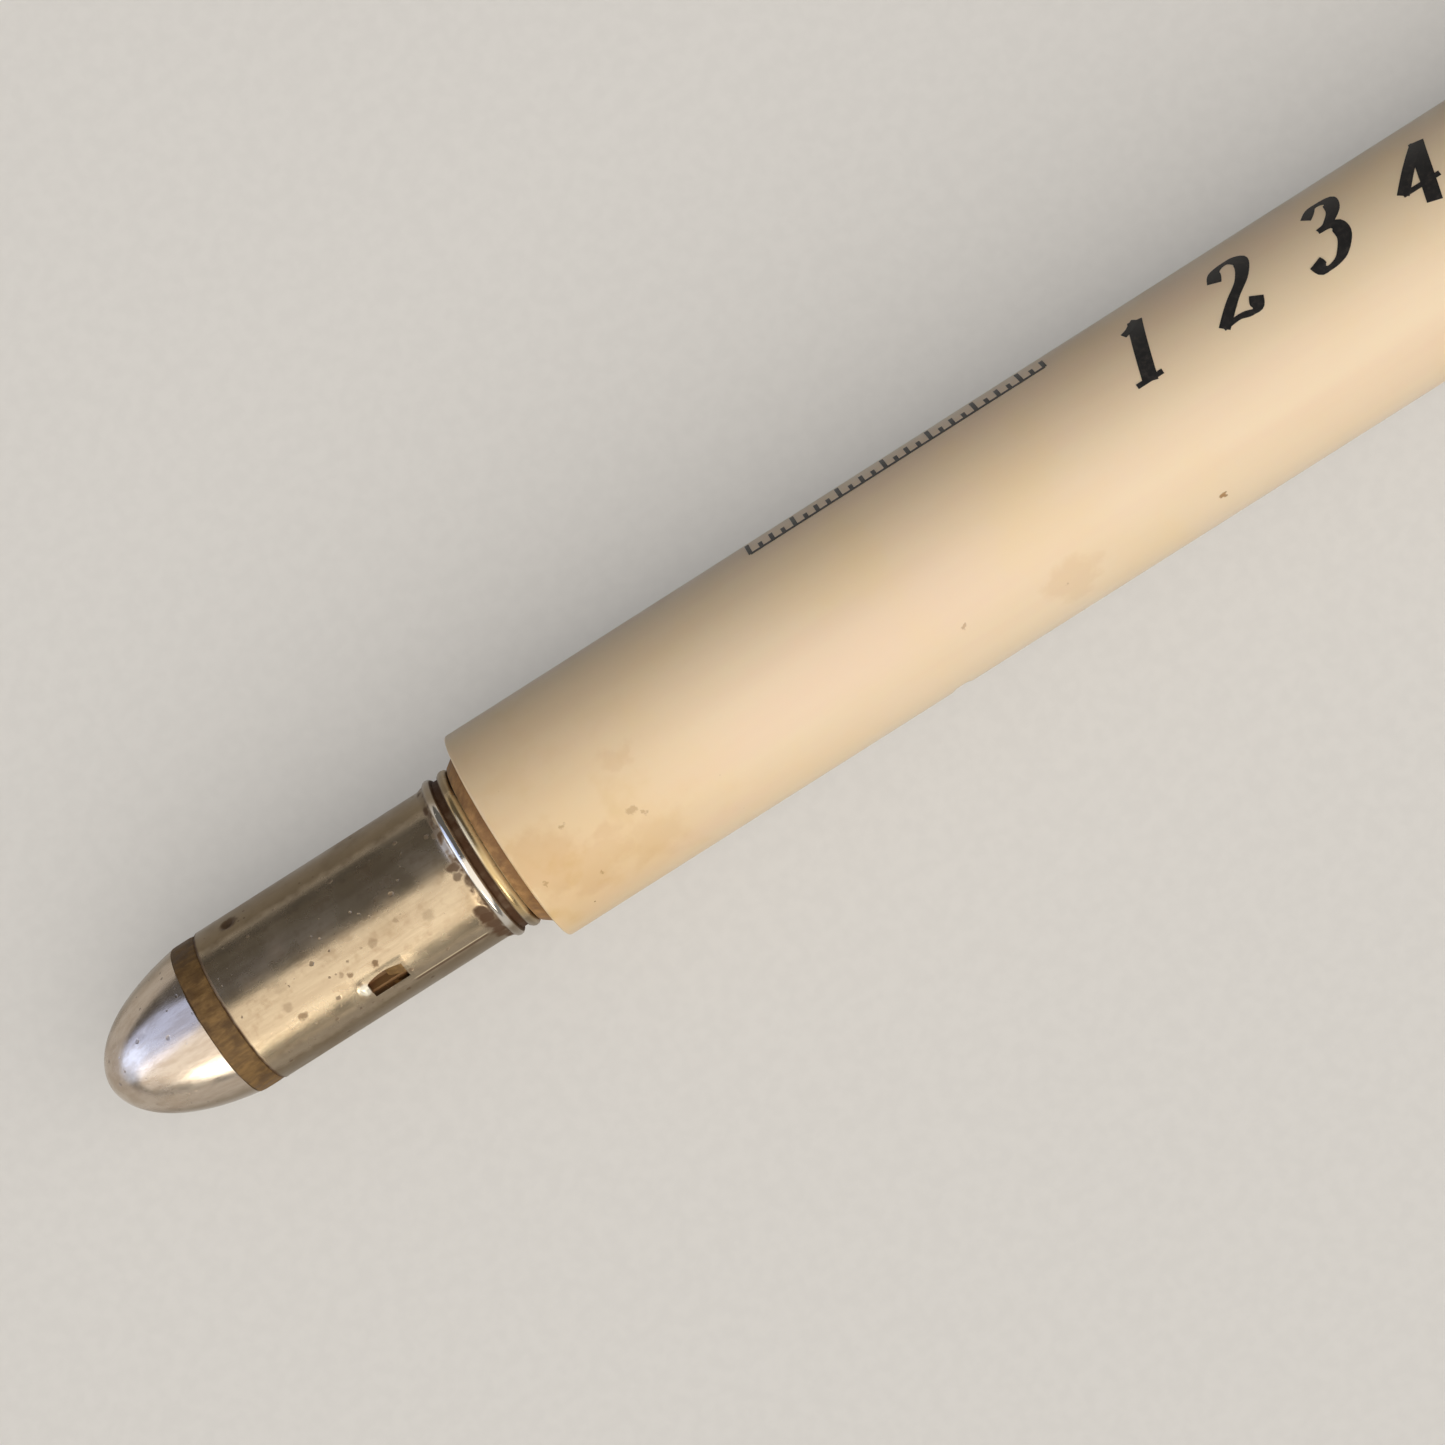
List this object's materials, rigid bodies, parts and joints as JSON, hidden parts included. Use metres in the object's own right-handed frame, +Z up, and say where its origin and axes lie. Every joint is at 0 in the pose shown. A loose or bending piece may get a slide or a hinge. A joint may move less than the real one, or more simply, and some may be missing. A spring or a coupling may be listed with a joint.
{
  "type": "bullet pencil",
  "caption": "Pocket pencil: a plated bullet-nosed sleeve with a cedar stub inside slides point first into a round cream barrel with an eraser at its far end.",
  "frame": {"origin": "the middle of the barrel, on its axis, which is the centre of the barrel_grip mount", "axes": "+X along the barrel towards the eraser, so the bullet nose points to -X; +Z up when the pencil lies on a table; +Y completes a right-handed frame"},
  "size_m": [0.1125, 0.0094, 0.0094],
  "materials": {
    "celluloid": "ivory celluloid, soft gloss, lightly yellowed",
    "fibre": "brown vulcanised fibre tube, matt",
    "nickel": "worn nickel plate, small pits and brown tarnish",
    "plug_brown": "turned hardwood, stained dark brown",
    "cedar": "bare cedar, aged",
    "graphite": "graphite, dull sheen",
    "eraser_rubber": "aged pink rubber, matt"
  },
  "bodies": {
    "barrel": {"barrel_shell": "celluloid", "barrel_liner": "fibre", "eraser_ferrule": "nickel", "eraser": "eraser_rubber"},
    "bullet": {"bullet_sleeve": "nickel", "nose_plug": "plug_brown", "nose_cap": "nickel"},
    "stub": {"stub_slat_upper": "cedar", "stub_slat_lower": "cedar", "graphite_lead": "graphite"}
  },
  "joints": [
    {"name": "bullet_pull", "type": "slide", "parent": "barrel", "child": "bullet", "axis": [-1, 0, 0], "range_m": [0, 0.0595]},
    {"name": "stub_pull", "type": "slide", "parent": "bullet", "child": "stub", "axis": [1, 0, 0], "range_m": [0, 0.0188]}
  ]
}
